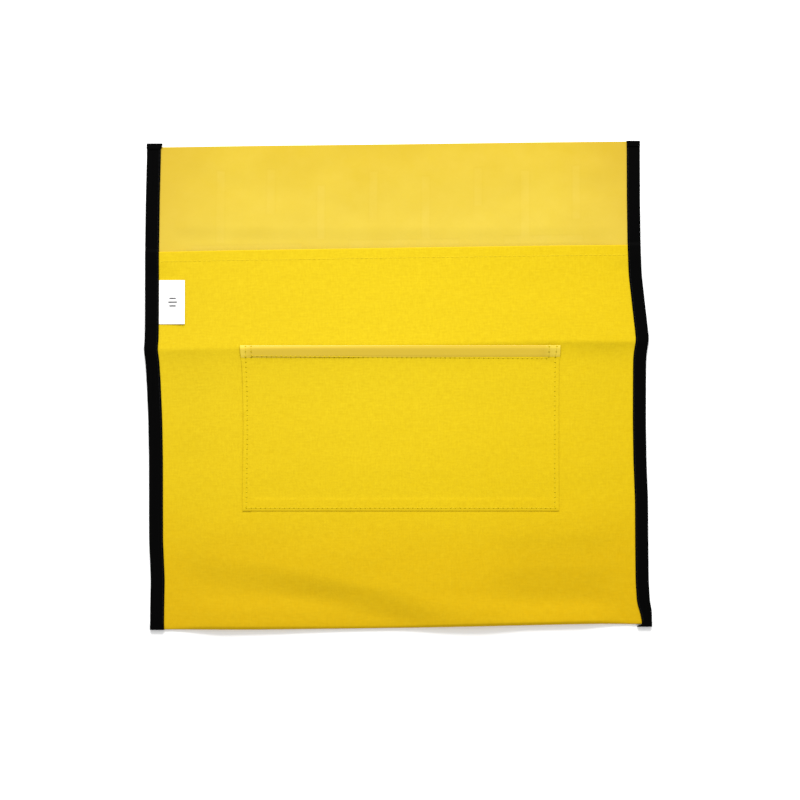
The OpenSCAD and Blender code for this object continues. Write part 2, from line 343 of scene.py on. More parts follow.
def attach(piece, slot, *nodes, body=None, zone=None):
    """Hides the CAD parts that a piece stands for, and hangs it on the body that it rides on; in a
    bending zone its place is only baked into its mesh.
    """
    if nodes:
        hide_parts(*nodes)
    if zone == "crease":
        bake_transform(piece)
    elif zone == "flap":
        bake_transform(piece)
    elif zone == "label":
        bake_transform(piece)
    else:
        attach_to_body(piece, body)
    return piece


# ---------------------------------------------------------------- materials

class Nodes:
    """Short ways to add and link shader nodes of one material."""

    def __init__(self, name):
        self.material = bpy.data.materials.new(name)
        self.material.use_nodes = True
        self.tree = self.material.node_tree
        self.tree.nodes.clear()
        self.shader = self.add("ShaderNodeBsdfPrincipled")
        output = self.add("ShaderNodeOutputMaterial")
        self.tree.links.new(self.shader.outputs["BSDF"], output.inputs["Surface"])
        uv = self.add("ShaderNodeUVMap")
        uv.uv_map = "UVMap"
        self.uv = uv.outputs["UV"]
        split = self.add("ShaderNodeSeparateXYZ")
        self.tree.links.new(self.uv, split.inputs[0])
        self.u, self.v = split.outputs["X"], split.outputs["Y"]

    def add(self, kind):
        return self.tree.nodes.new(kind)

    def put(self, socket, value):
        if isinstance(value, bpy.types.NodeSocket):
            self.tree.links.new(value, socket)
        else:
            socket.default_value = value

    def math(self, operation, a, b=0.0):
        node = self.add("ShaderNodeMath")
        node.operation = operation
        self.put(node.inputs[0], a)
        self.put(node.inputs[1], b)
        return node.outputs[0]

    def stretch(self, scale):
        node = self.add("ShaderNodeMapping")
        self.put(node.inputs["Vector"], self.uv)
        node.inputs["Scale"].default_value = scale
        return node.outputs["Vector"]

    def noise(self, size_mm, detail=3.0, roughness=0.55, stretch=(1, 1, 1)):
        """Noise whose features are about size_mm across, from 0 to 1."""
        node = self.add("ShaderNodeTexNoise")
        self.put(node.inputs["Vector"], self.stretch(stretch))
        node.inputs["Scale"].default_value = UV_UNIT / size_mm
        node.inputs["Detail"].default_value = detail
        node.inputs["Roughness"].default_value = roughness
        return node.outputs["Fac"]

    def creases(self, size_mm, stretch):
        """Thin branching lines, 0 on a line and rising away from it."""
        node = self.add("ShaderNodeTexVoronoi")
        node.feature = "DISTANCE_TO_EDGE"
        self.put(node.inputs["Vector"], self.stretch(stretch))
        node.inputs["Scale"].default_value = UV_UNIT / size_mm
        return node.outputs["Distance"]

    def wave(self, coordinate, pitch_mm):
        """A sine of that pitch along one UV coordinate, from -1 to 1."""
        turns = self.math("MULTIPLY", coordinate, 2 * math.pi * UV_UNIT / pitch_mm)
        return self.math("SINE", turns)

    def ramp(self, value, stops):
        node = self.add("ShaderNodeValToRGB")
        self.put(node.inputs["Fac"], value)
        ramp = node.color_ramp
        while len(ramp.elements) < len(stops):
            ramp.elements.new(0.5)
        for element, (place, colour) in zip(ramp.elements, stops):
            element.position = place
            element.color = (*colour, 1)
        return node.outputs["Color"]

    def remap(self, value, low, high, to_low, to_high):
        node = self.add("ShaderNodeMapRange")
        for i, x in enumerate((value, low, high, to_low, to_high)):
            self.put(node.inputs[i], x)
        return node.outputs[0]

    def mix(self, factor, a, b, blend="MIX"):
        node = self.add("ShaderNodeMix")
        node.data_type = "RGBA"
        node.blend_type = blend
        self.put(node.inputs["Factor"], factor)
        self.put(node.inputs[6], a if isinstance(a, bpy.types.NodeSocket) else (*a, 1))
        self.put(node.inputs[7], b if isinstance(b, bpy.types.NodeSocket) else (*b, 1))
        return node.outputs[2]

    def bump(self, height, distance_mm, strength=1.0, under=None):
        node = self.add("ShaderNodeBump")
        node.inputs["Strength"].default_value = strength
        node.inputs["Distance"].default_value = distance_mm * MM
        self.put(node.inputs["Height"], height)
        if under is not None:
            self.put(node.inputs["Normal"], under)
        return node.outputs["Normal"]

    def finish(self, colour, roughness, normal, specular, **constants):
        """Links the patterned sockets and sets the even ones directly."""
        self.put(self.shader.inputs["Base Color"], colour)
        self.put(self.shader.inputs["Roughness"], roughness)
        self.put(self.shader.inputs["Normal"], normal)
        self.shader.inputs["Specular IOR Level"].default_value = specular
        for name, value in constants.items():
            self.shader.inputs[name.replace("_", " ")].default_value = value
        return self.material


WEAVE_MM = 0.62


def plain_weave(n):
    """Height of a plain weave, from 0 to 1, with thick and thin threads."""
    warp = n.wave(n.u, 2 * WEAVE_MM)
    weft = n.wave(n.v, 2 * WEAVE_MM)
    over = n.remap(n.math("MULTIPLY", warp, weft), -1, 1, 0, 1)
    return n.math("MULTIPLY", over, n.remap(slubs(n, 1.6), 0.35, 0.65, 0.55, 1.0))


def slubs(n, size_mm):
    """Streaks of thicker thread both ways, about 0.5 on average."""
    along = n.noise(size_mm, 2, 0.5, (1, 0.22, 1))
    across = n.noise(size_mm, 2, 0.5, (0.22, 1, 1))
    return n.math("MULTIPLY", n.math("ADD", along, across), 0.5)


def from_fold(n):
    """Distance from the bottom fold along the cloth, in UV units, with an uneven border."""
    straight = n.math("ABSOLUTE", n.math("SUBTRACT", n.v, (FRONT_ORIGIN_V - HALF_H) / UV_UNIT))
    return n.math("ADD", straight, n.remap(n.noise(70, 3, 0.6), 0.2, 0.8, -0.12, 0.12))


def near_edges(n, start_mm):
    """0 in the middle of the cloth's width and 1 beside the bindings."""
    return n.remap(n.math("ABSOLUTE", n.u), start_mm / UV_UNIT, HALF_W / UV_UNIT, 0, 1)


def woven_canvas():
    n = Nodes("woven_canvas")
    weave = plain_weave(n)
    # Painted shade: darker and more orange towards the bottom fold, as the light falls off downwards.
    base = n.ramp(n.remap(from_fold(n), 0, 2.2, 0, 1), [
        (0.0, (0.584, 0.37, 0.0043)), (0.28, (0.597, 0.4, 0.0052)),
        (0.55, (0.632, 0.466, 0.0084)), (1.0, (0.634, 0.483, 0.0116)),
    ])
    # Painted shade: darker and more orange beside the bindings.
    base = n.mix(near_edges(n, 30), base, (0.95, 0.925, 0.86), "MULTIPLY")
    base = n.mix(n.remap(n.u, -2.2, 2.2, 0, 1), base, (0.98, 0.965, 0.60), "MULTIPLY")
    # Painted shade along the mouth's turned edge, which dims the highlight its fold catches.
    mouth_edge = (FRONT_ORIGIN_V + MOUTH_Y - 1.8) / UV_UNIT
    from_mouth = n.math("ABSOLUTE", n.math("SUBTRACT", n.v, mouth_edge))
    base = n.mix(n.remap(from_mouth, 0.005, 0.012, 1, 0), base, (0.82, 0.78, 0.8), "MULTIPLY")
    fade = n.remap(n.noise(7, 5, 0.7), 0.35, 0.75, 0.0, 0.14)
    colour = n.mix(fade, base, (0.688, 0.544, 0.0224))
    colour = n.mix(n.remap(slubs(n, 1.5), 0.36, 0.64, 0.26, 0.0), colour, (0.416, 0.264, 0.0016))
    colour = n.mix(n.remap(weave, 0, 1, 0.26, 0.0), colour, (0.368, 0.224, 0.0016))
    roughness = n.remap(n.noise(4, 3), 0.3, 0.7, 0.78, 0.92)
    rumple = n.bump(n.noise(7, 5, 0.6), 0.5, 0.35)
    normal = n.bump(weave, 0.15, 0.9, rumple)
    return n.finish(colour, roughness, normal, 0.05, Diffuse_Roughness=0.4)


# Faint streaks pressed into the coating of the flap, and last three bars of painted highlight along the
# bright strip just above the mouth: centre x and y, half width and half height
PRESSED_AND_HIGHLIGHT_BARS = [
    (-158, 163, 3.6, 32), (-112, 176, 3.6, 20), (-66, 157, 3.4, 24), (-18, 171, 3.6, 22),
    (30, 160, 3.6, 28), (78, 178, 3.4, 17), (121, 160, 3.8, 32), (168, 172, 3.4, 24),
    (-133, 125, 50, 3.4), (10, 128, 50, 3.2), (138, 130, 36, 3.2),
]


def outside_bars(n):
    """Distance in UV units outside the nearest bar, pressed streak or painted highlight, and negative
    inside it.
    """
    def beyond(coordinate, centre, half):
        away = n.math("ABSOLUTE", n.math("SUBTRACT", coordinate, centre / UV_UNIT))
        return n.math("SUBTRACT", away, half / UV_UNIT)

    nearest = None
    for x, y, half_w, half_h in PRESSED_AND_HIGHLIGHT_BARS:
        outside = n.math("MAXIMUM", beyond(n.u, x, half_w), beyond(n.v, BACK_SPLIT_Y - y, half_h))
        nearest = outside if nearest is None else n.math("MINIMUM", nearest, outside)
    return nearest


def coated_canvas():
    n = Nodes("coated_canvas")
    weave = plain_weave(n)
    # Painted highlight: the coating turns lighter towards the mouth, as a broad gloss there would show,
    # with random unevenness on top.
    to_mouth = n.remap(n.v, (BACK_SPLIT_Y - HALF_H) / UV_UNIT, (BACK_SPLIT_Y - MOUTH_Y) / UV_UNIT, 0, 1)
    mouth_highlight_and_tone = n.math("ADD", to_mouth, n.remap(n.noise(50, 4, 0.6), 0.2, 0.8, -0.25, 0.25))
    base = n.ramp(mouth_highlight_and_tone, [(0.0, (0.446, 0.309, 0.007)), (1.0, (0.505, 0.376, 0.028))])
    on_front = n.remap(n.v, 2.5, 3.0, 0, 1)
    base = n.mix(on_front, base, (0.509, 0.354, 0.0157))
    # Painted highlight on the ends of the pocket's hem, where they curl up and catch the light.
    lit_hem_ends = n.remap(n.math("ABSOLUTE", n.u), 1.31, 1.38, 0, 0.4)
    base = n.mix(n.math("MULTIPLY", on_front, lit_hem_ends), base, (0.672, 0.528, 0.048))
    base = n.mix(near_edges(n, 150), base, (0.9, 0.85, 0.66), "MULTIPLY")
    bars = outside_bars(n)
    inside = n.remap(bars, -0.008, 0.004, 1, 0)
    # Lighter inside the bars: worn coating on the pressed streaks, painted highlight on the three bars
    # above the mouth.
    worn_and_highlight = n.math("MULTIPLY", inside, n.remap(n.noise(24, 3), 0.35, 0.6, 0.25, 1.0))
    colour = n.mix(n.math("MULTIPLY", worn_and_highlight, 0.13), base, (0.528, 0.4, 0.068))
    outline = n.remap(n.math("ABSOLUTE", n.math("SUBTRACT", bars, 0.006)), 0.0, 0.009, 0.06, 0.0)
    colour = n.mix(outline, colour, (0.336, 0.216, 0.0032))
    roughness = n.remap(n.noise(14, 4, 0.6), 0.3, 0.7, 0.34, 0.48)
    pressed = n.bump(n.remap(bars, -0.006, 0.008, 0.0, 1.0), 0.05, 0.3)
    crinkle = n.bump(n.remap(n.creases(7, (0.6, 1, 1)), 0.0, 0.1, 0.0, 1.0), 0.02, 0.25, pressed)
    uneven = n.bump(n.noise(16, 4, 0.55), 0.4, 0.25, crinkle)
    normal = n.bump(weave, 0.03, 0.4, uneven)
    return n.finish(colour, roughness, normal, 0.36, Coat_Weight=0.08, Coat_Roughness=0.3)


def cut_edge():
    n = Nodes("cut_edge")
    threads = n.math("MULTIPLY", n.wave(n.u, WEAVE_MM), n.wave(n.v, WEAVE_MM))
    colour = n.mix(n.remap(threads, -1, 1, 0, 1), (0.496, 0.344, 0.016), (0.64, 0.496, 0.08))
    return n.finish(colour, n.remap(threads, -1, 1, 0.95, 0.8), n.bump(threads, 0.1, 0.8), 0.1)


def ribbed_tape():
    n = Nodes("ribbed_tape")
    rib = n.wave(n.v, 0.9)
    thread = n.wave(n.u, 0.45)
    height = n.math("ADD", n.remap(rib, -1, 1, 0, 0.8), n.remap(thread, -1, 1, 0, 0.2))
    fluff = n.noise(1.2, 4, 0.7)
    raised = n.math("MULTIPLY", height, fluff)
    colour = n.mix(raised, (0.0003, 0.0003, 0.0003), (0.0028, 0.0027, 0.0027))
    normal = n.bump(height, 0.14, 0.8, n.bump(n.noise(5, 3), 0.2, 0.3))
    return n.finish(colour, n.remap(fluff, 0.3, 0.7, 0.8, 0.95), normal, 0.02)


def thread(name, dark, light, specular):
    n = Nodes(name)
    twist = n.wave(n.math("ADD", n.u, n.v), 0.8)
    colour = n.mix(n.remap(twist, -1, 1, 0, 1), dark, light)
    return n.finish(colour, n.remap(twist, -1, 1, 0.75, 0.55), n.bump(twist, 0.08, 0.6), specular)


def needle_hole():
    n = Nodes("needle_hole")
    colour = n.mix(n.noise(0.6, 2), (0.496, 0.344, 0.0024), (0.592, 0.424, 0.0032))
    return n.finish(colour, n.remap(n.noise(1, 2), 0, 1, 0.9, 1.0), n.bump(n.noise(0.5, 2), 0.1), 0.02)


def satin_label():
    n = Nodes("satin_label")
    ribs = n.wave(n.v, 0.5)
    cross = n.wave(n.u, 0.34)
    height = n.math("ADD", n.remap(ribs, -1, 1, 0, 0.7), n.remap(cross, -1, 1, 0, 0.3))
    colour = n.mix(n.remap(n.noise(6, 3), 0.3, 0.7, 0, 1), (0.86, 0.85, 0.83), (0.9, 0.895, 0.88))
    normal = n.bump(height, 0.03, 0.6, n.bump(n.noise(8, 3), 0.3, 0.4))
    return n.finish(colour, n.remap(n.noise(3, 2), 0.3, 0.7, 0.42, 0.55), normal, 0.35)


def label_ink():
    n = Nodes("label_ink")
    patches = n.noise(0.8, 3, 0.6)
    colour = n.mix(n.remap(patches, 0.35, 0.7, 0, 1), (0.055, 0.055, 0.06), (0.16, 0.16, 0.165))
    return n.finish(colour, n.remap(patches, 0.3, 0.7, 0.6, 0.8), n.bump(patches, 0.02, 0.5), 0.2)


WOVEN = woven_canvas()
COATED = coated_canvas()
EDGE = cut_edge()
TAPE = ribbed_tape()
YELLOW_THREAD = thread("yellow_thread", (0.496, 0.36, 0.0048), (0.688, 0.528, 0.0176), 0.12)
BLACK_THREAD = thread("black_thread", (0.0008, 0.0008, 0.0009), (0.0072, 0.0072, 0.0072), 0.1)
HOLE = needle_hole()
SATIN = satin_label()
INK = label_ink()


# ---------------------------------------------------------------- main cloth

FOLD_DEPTH = 3.5
HEM_RADIUS = 0.46
BOTTOM_V = -CLOTH_END + FOLD_DEPTH  # where the bottom fold starts, in the cloth's own length
CREASE_ROWS = (CREASE_Y, 24)  # where rows lie closer together, and how far to each side
FLAP_ROWS = (FLAP_FOLD_Y + 6, 12)
across = np.linspace(0, 1, 201)
nominal_x = -HALF_W + CLOTH_INSET + across * 2 * (HALF_W - CLOTH_INSET)


def lay(v, height):
    """Points of the cloth at its own lengths v, at the middle of its thickness."""
    guess_x, own_v = np.meshgrid(nominal_x, v)
    y = place_y(guess_x, own_v)
    x = place_x(np.broadcast_to(across, y.shape), y)
    return np.stack([x, y, height(x, y)], axis=2)


def back_middle(x, y):
    """Height of the middle of the back layer."""
    return back_under(x, y) + CLOTH_T / 2


def front_middle(x, y):
    """Height of the middle of the front layer."""
    return front_top(x, y) - CLOTH_T / 2


def bottom_fold_rows(angles):
    """The half ring that joins back and front along the bottom."""
    y_start = bottom_line(nominal_x) + FOLD_DEPTH
    x = place_x(across, y_start)
    low, high = back_middle(x, y_start), front_middle(x, y_start)
    depth = FOLD_DEPTH - CLOTH_T / 2
    rows = []
    for a in angles:
        y = y_start - depth * math.cos(a)
        z = (low + high) / 2 + (high - low) / 2 * math.sin(a)
        rows.append(np.stack([x, y, z], axis=1))
    return np.array(rows)


def mouth_rows(angles, y_turn, x):
    """The front's top edge, turned in over a small radius."""
    z = front_middle(x, y_turn) - HEM_RADIUS
    return np.array([
        np.stack([x, y_turn + HEM_RADIUS * math.cos(a), z + HEM_RADIUS * math.sin(a)], axis=1)
        for a in angles
    ])


def make_sleeve():
    """One cloth: down the back, round the bottom fold, up the front, and turned in at the mouth."""
    near_crease = (*CREASE_ROWS, 1.2)
    back = lay(spaced(BACK_SPLIT_Y, BOTTOM_V, 3.2, [near_crease]), back_middle)
    back[-1, :, 1] = bottom_line(nominal_x) + FOLD_DEPTH
    ring = bottom_fold_rows(np.radians(np.arange(-75, 76, 15)))
    top_v = MOUTH_Y - CLOTH_T / 2 - HEM_RADIUS
    front = lay(spaced(BOTTOM_V, top_v, 2.2, [near_crease, (MOUTH_Y, 16, 1.0)]), front_middle)
    x_turn, y_turn = front[-1, :, 0], front[-1, :, 1]
    turn = mouth_rows(np.radians(np.arange(60, -91, -30)), y_turn, x_turn)
    row_step = 1.5
    hem = np.array([
        np.stack([x_turn, y_turn - d, front_middle(x_turn, y_turn - d) - 2 * HEM_RADIUS], axis=1)
        for d in np.arange(row_step, MOUTH_HEM_H, row_step)
    ])
    middle = np.concatenate([back, ring, front, turn, hem])
    uv = cloth_uv(middle, nominal_x, 0)
    piece = sheet_mesh("cloth_sleeve", middle, CLOTH_T, [WOVEN, COATED, EDGE], uv)
    length = arc_lengths(middle, 0)[-1, middle.shape[1] // 2]
    attach(piece, "canvas_woven_side", "back_panel_lower", "back_panel_upper", "front_panel_lower",
           "front_panel_upper", "bottom_fold", "front_mouth_hem", zone="crease")
    return piece, length


def make_flap():
    """The same cloth from the split in the back up to its top edge, with the coated side up."""
    middle = lay(spaced(CLOTH_END, BACK_SPLIT_Y, 2.4, [(*FLAP_ROWS, 1.2)]), back_middle)
    length = arc_lengths(middle, 0)[-1, middle.shape[1] // 2]
    uv = cloth_uv(middle, nominal_x, -length)
    piece = sheet_mesh("cloth_flap", middle, CLOTH_T, [WOVEN, COATED, EDGE], uv)
    attach(piece, "canvas_coated_side", "top_flap", "back_panel_upper", zone="flap")
    return piece, length


sleeve, sleeve_length = make_sleeve()
flap, flap_length = make_flap()


# ---------------------------------------------------------------- binding tapes

TAPE_SHEET_T = 0.7
TAPE_LIFT = 0.03  # air between the upper leg and the cloth
TAPE_TURN = 1.7  # where each leg starts to bend round the edge, from the outer edge
TAPE_SEAM_IN = 1.5
TAPE_ENDS = {-1: (-219.6, 217.0), 1: (-216.7, 219.5)}
SIDES = ((-1, "left"), (1, "right"))


def tape_width(side, y):
    """Width of a tape's legs. The right one's are a little narrower, most of all at its lower end."""
    if side < 0:
        return np.full_like(y, TAPE_W)
    return TAPE_W - 0.8 - 2.8 * smooth((-196 - y) / 20)


def stack_top(x, y):
    """Top of the cloth under the binding's upper leg: two layers below the mouth, one above it."""
    two = front_top(x, y)
    one = back_under(x, y) + CLOTH_T
    above = smooth((y - mouth_line(x) + 0.5) / 3.0)
    return two + (one - two) * above


def label_bulge(side, y):
    """The left tape stands a little higher where the label's edge goes in under it."""
    if side > 0:
        return np.zeros_like(y)
    return 0.45 * smooth((y - LABEL_LOW[1] + 4) / 4) * smooth((LABEL_HIGH[1] + 4 - y) / 4)


def tape_middle(side, y):
    """Middle of the folded tape as a grid of y by lower leg, round the edge, and upper leg."""
    edge = left_edge(y) if side < 0 else right_edge(y)
    width = tape_width(side, y)
    low = TAPE_SHEET_T / 2 + 0.02
    points = []

    def add(inset, z):
        points.append(np.stack([edge - side * inset, y, z], axis=1))

    leg_shares = np.linspace(1, 0, 8)
    for share in leg_shares:
        inset = TAPE_TURN + share * (width - TAPE_TURN)
        add(inset, low + ridge(edge - side * inset, y))
    turn_x = edge - side * TAPE_TURN
    bottom = low + ridge(turn_x, y)
    top = stack_top(turn_x, y) + TAPE_SHEET_T / 2 + label_bulge(side, y)
    for a in np.radians(np.arange(-72, 73, 18)):
        inset = TAPE_TURN - (TAPE_TURN - TAPE_SHEET_T / 2) * math.cos(a)
        add(inset, (bottom + top) / 2 + (top - bottom) / 2 * math.sin(a))
    for share in leg_shares[::-1]:
        inset = TAPE_TURN + share * (width - TAPE_TURN)
        x = edge - side * inset
        add(inset, stack_top(x, y) + TAPE_SHEET_T / 2 + TAPE_LIFT + label_bulge(side, y))
    return np.stack(points, axis=1)


def tape_parts(side):
    """Name, ends and bending zone of a tape's two parts, and the CAD parts that each stands for."""
    low_end, high_end = TAPE_ENDS[side]
    return (("lower", low_end, BACK_SPLIT_Y, "crease", ("lower", "upper")),
            ("upper", BACK_SPLIT_Y, high_end, "flap", ("flap", "upper")))


def make_tape(side, name, y0, y1, zone, nodes):
    y = spaced(y0, y1, 2.0, [(*CREASE_ROWS, 1.0), (MOUTH_Y, 12, 0.8), (*FLAP_ROWS, 1.0)])
    middle = tape_middle(side, y)
    round_it = arc_lengths(middle, 1)[len(y) // 2]
    u, v = np.meshgrid(round_it, y)
    piece = sheet_mesh(name, middle, TAPE_SHEET_T, [TAPE] * 3, np.stack([u, v], axis=2))
    attach(piece, "binding_tape", *nodes, zone=zone)


for side, word in SIDES:
    for part, y0, y1, zone, cad_parts in tape_parts(side):
        nodes = [f"{word}_binding_{cad_part}" for cad_part in cad_parts]
        make_tape(side, f"tape_{word}_{part}", y0, y1, zone, nodes)

# How far each tape's turned end stands out past its inner edge, and over what length that fades
TUCK_FLARE = {("left", "top"): (1.4, 6.0), ("right", "top"): (0.2, 3.0),
              ("left", "bottom"): (0.1, 3.0), ("right", "bottom"): (4.2, 1.7)}


def make_tuck(side, word, end):
    """The tape's end turned over itself: a short doubled strip."""
    outward = 1.0 if end == "top" else -1.0
    y_end = TAPE_ENDS[side][1] + 0.6 if end == "top" else TAPE_ENDS[side][0] - 0.4
    depth = 4.6  # how far the strip reaches back over the tape
    nose = 0.45  # how far its fold stands out
    flare, reach = TUCK_FLARE[(word, end)]
    edge = float((left_edge if side < 0 else right_edge)(y_end))
    width = float(tape_width(side, np.array([y_end]))[0])
    share = np.linspace(0, 1, 25)
    cloth_x, cloth_y = edge - side * width / 2, y_end - outward * 6
    upper = float(stack_top(cloth_x, cloth_y)) + TAPE_SHEET_T * 1.5 + 0.02
    low = TAPE_SHEET_T / 2 + 0.05
    middle_z, half_z = (upper + low) / 2, (upper - low) / 2
    profile = [(y_end - outward * d, upper) for d in np.linspace(depth, nose, 9)]
    for a in np.radians(np.arange(75, -91, -15)):
        profile.append((y_end - outward * nose * (1 - math.cos(a)), middle_z + half_z * math.sin(a)))
    rows = []
    for y, z in profile:
        reached = flare * (1 - smooth((abs(y - y_end) - 0.4) / reach))
        x = edge - side * share * (width + reached)
        rows.append(np.stack([x, np.full_like(x, y), np.full_like(x, z)], axis=1))
    middle = np.array(rows)
    u, v = np.meshgrid(share * width, arc_lengths(middle, 0)[:, 0])
    uv = np.stack([u, v], axis=2)
    piece = sheet_mesh(f"tape_{word}_{end}_tuck", middle, TAPE_SHEET_T, [TAPE] * 3, uv)
    body = "flap" if end == "top" else "lower"
    attach(piece, "binding_tape", f"{word}_binding_{end}_tuck", body=body)


for side, word in SIDES:
    for end in ("top", "bottom"):
        make_tuck(side, word, end)


# ---------------------------------------------------------------- pocket

POCKET_T = 0.34
POCKET_TURN = POCKET_T / 2 + 0.02  # radius of its folds
HEM_ROLL = 0.34  # how far the hem's turned cloth swells above the flat

# How far the pocket's sides lie in from straight lines: x at a few places along y
left_side = soft_curve([(-113, 0.7), (-90, 0.8), (-40, 1.6), (0, 1.1), (20, 0.2), (36, 0.0)], 5)
right_side = soft_curve([(-113, 0.3), (-60, 0.6), (0, 0.5), (36, 0.0)], 5)


def pocket_gape(x):
    """The pocket's mouth stands open a hair, most near its right end."""
    return 0.25 + 1.0 * np.exp(-(((x - POCKET_HIGH[0] + 10) / 7) ** 2))


def turned_under(x, y):
    """Lift over the pocket's turnings, in thicknesses: most at the left, least below, and 0 inside."""
    side = np.minimum(x - POCKET_LOW[0], POCKET_HIGH[0] - x)
    over_sides = np.where(x < 0, 1.3, 0.9) * (1 - smooth((side - TURNING_W + 4) / 8))
    over_bottom = 0.6 * (1 - smooth((y - POCKET_LOW[1] - TURNING_W + 0.5) / 3.5))
    return np.maximum(over_sides, over_bottom * smooth((side + 1) / 6))


def pocket_middle(x, y):
    """Height of the middle of the pocket cloth."""
    side = np.minimum(x - POCKET_LOW[0], POCKET_HIGH[0] - x)
    round_off = 0.2 * (1 - np.sqrt(1 - np.clip(1 - side, 0, 1) ** 2))
    gape = pocket_gape(x) * smooth((y - POCKET_TOP + 16) / 16)
    puff = 0.5 * smooth(side / 60) * smooth((y - POCKET_LOW[1]) / 50)
    sewn_down = 0.22 * (1 - smooth((y - POCKET_LOW[1]) / 2.5))
    lying = front_top(x, y) + POCKET_T / 2 + 0.04 - sewn_down
    return lying + POCKET_T * turned_under(x, y) - round_off + gape + puff


def pocket_x(share, y):
    """x across the pocket, whose hem's ends stand out a little past its sides."""
    low, high = POCKET_LOW[0] + left_side(y), POCKET_HIGH[0] - right_side(y)
    flare = (0.9 * share ** 8 - 1.3 * (1 - share) ** 8) * smooth((y - POCKET_TOP + 22) / 20)
    return low + share * (high - low) + flare


def hem_depth(x):
    """The pocket's hem is turned over a little deeper on the left."""
    return POCKET_HEM_H * (0.98 - 0.04 * x / POCKET_HIGH[0])


def make_pocket():
    """Pocket cloth: turned under at the bottom, and its top turned over to the outside as a hem."""
    share = np.sort(np.concatenate([np.linspace(0, 1, 141), [0.0015, 0.003, 0.997, 0.9985]]))

    def row(y, lift):
        y = y + np.zeros_like(share)
        x = pocket_x(share, y)
        return np.stack([x, y, pocket_middle(x, y) + lift], axis=1)

    bottom, top, turn = POCKET_LOW[1], POCKET_TOP, POCKET_TURN
    fold_angles = np.radians(np.arange(-60, 61, 30))
    depth = hem_depth(pocket_x(share, np.full_like(share, top)))
    rows = [row(y, -2 * turn) for y in spaced(bottom + TURNING_W, bottom + 2 * turn, 2.0)]
    rows += [row(bottom + turn * (2 - math.cos(a)), turn * (math.sin(a) - 1)) for a in fold_angles]
    near_ends = [(bottom, 14, 1), (top, 16, 1)]
    rows += [row(y, 0) for y in spaced(bottom + 2 * turn, top - 2 * turn, 2.2, near_ends)]
    rows += [row(top - turn * (2 - math.cos(a)), turn * (math.sin(a) + 1)) for a in fold_angles]
    for part in np.linspace(0, 1, 16):
        soft_roll = HEM_ROLL * smooth(part / 0.22) * (1 - smooth((part - 0.25) / 0.75))
        pressed = 0.26 * smooth((part - 0.8) / 0.2)
        rows.append(row(top - 2 * turn - part * (depth - 2 * turn), 2 * turn + soft_roll - pressed))
    middle = np.array(rows)
    width = POCKET_HIGH[0] - POCKET_LOW[0]
    uv = cloth_uv(middle, POCKET_LOW[0] + share * width, FRONT_ORIGIN_V + bottom - TURNING_W)
    piece = sheet_mesh("pocket", middle, POCKET_T, [WOVEN, COATED, EDGE], uv)
    attach(piece, "canvas_woven_side", "pocket_panel", "pocket_top_hem", "pocket_bottom_turning",
           body="lower")
    length = arc_lengths(middle, 0)[-1, middle.shape[1] // 2]
    return piece, (width, length)


def make_pocket_turning(word):
    """The cloth turned under along one side of the pocket."""
    y = spaced(POCKET_LOW[1] + TURNING_W + 0.5, POCKET_HIGH[1] - 1, 3.0)
    inset = np.linspace(0.6, TURNING_W, 8)
    grid_x, grid_y = np.meshgrid(inset, y)
    if word == "left":
        grid_x = POCKET_LOW[0] + left_side(grid_y) + grid_x
    else:
        grid_x = (POCKET_HIGH[0] - right_side(grid_y) - grid_x)[:, ::-1]
    z = front_top(grid_x, grid_y) + POCKET_T / 2 + 0.03
    middle = np.stack([grid_x, grid_y, z], axis=2)
    piece = sheet_mesh(f"pocket_{word}_turning_strip", middle, POCKET_T - 0.04,
                       [COATED, WOVEN, EDGE], middle[:, :, :2])
    return attach(piece, "canvas_coated_side", f"pocket_{word}_turning", body="lower")


pocket, pocket_flat = make_pocket()
turnings = [make_pocket_turning(word) for word in ("left", "right")]


# ---------------------------------------------------------------- stitches

THREAD_R = 0.18
THREAD_SIDES = 6
HOLE_R = 0.72
HOLE_SIDES = 8


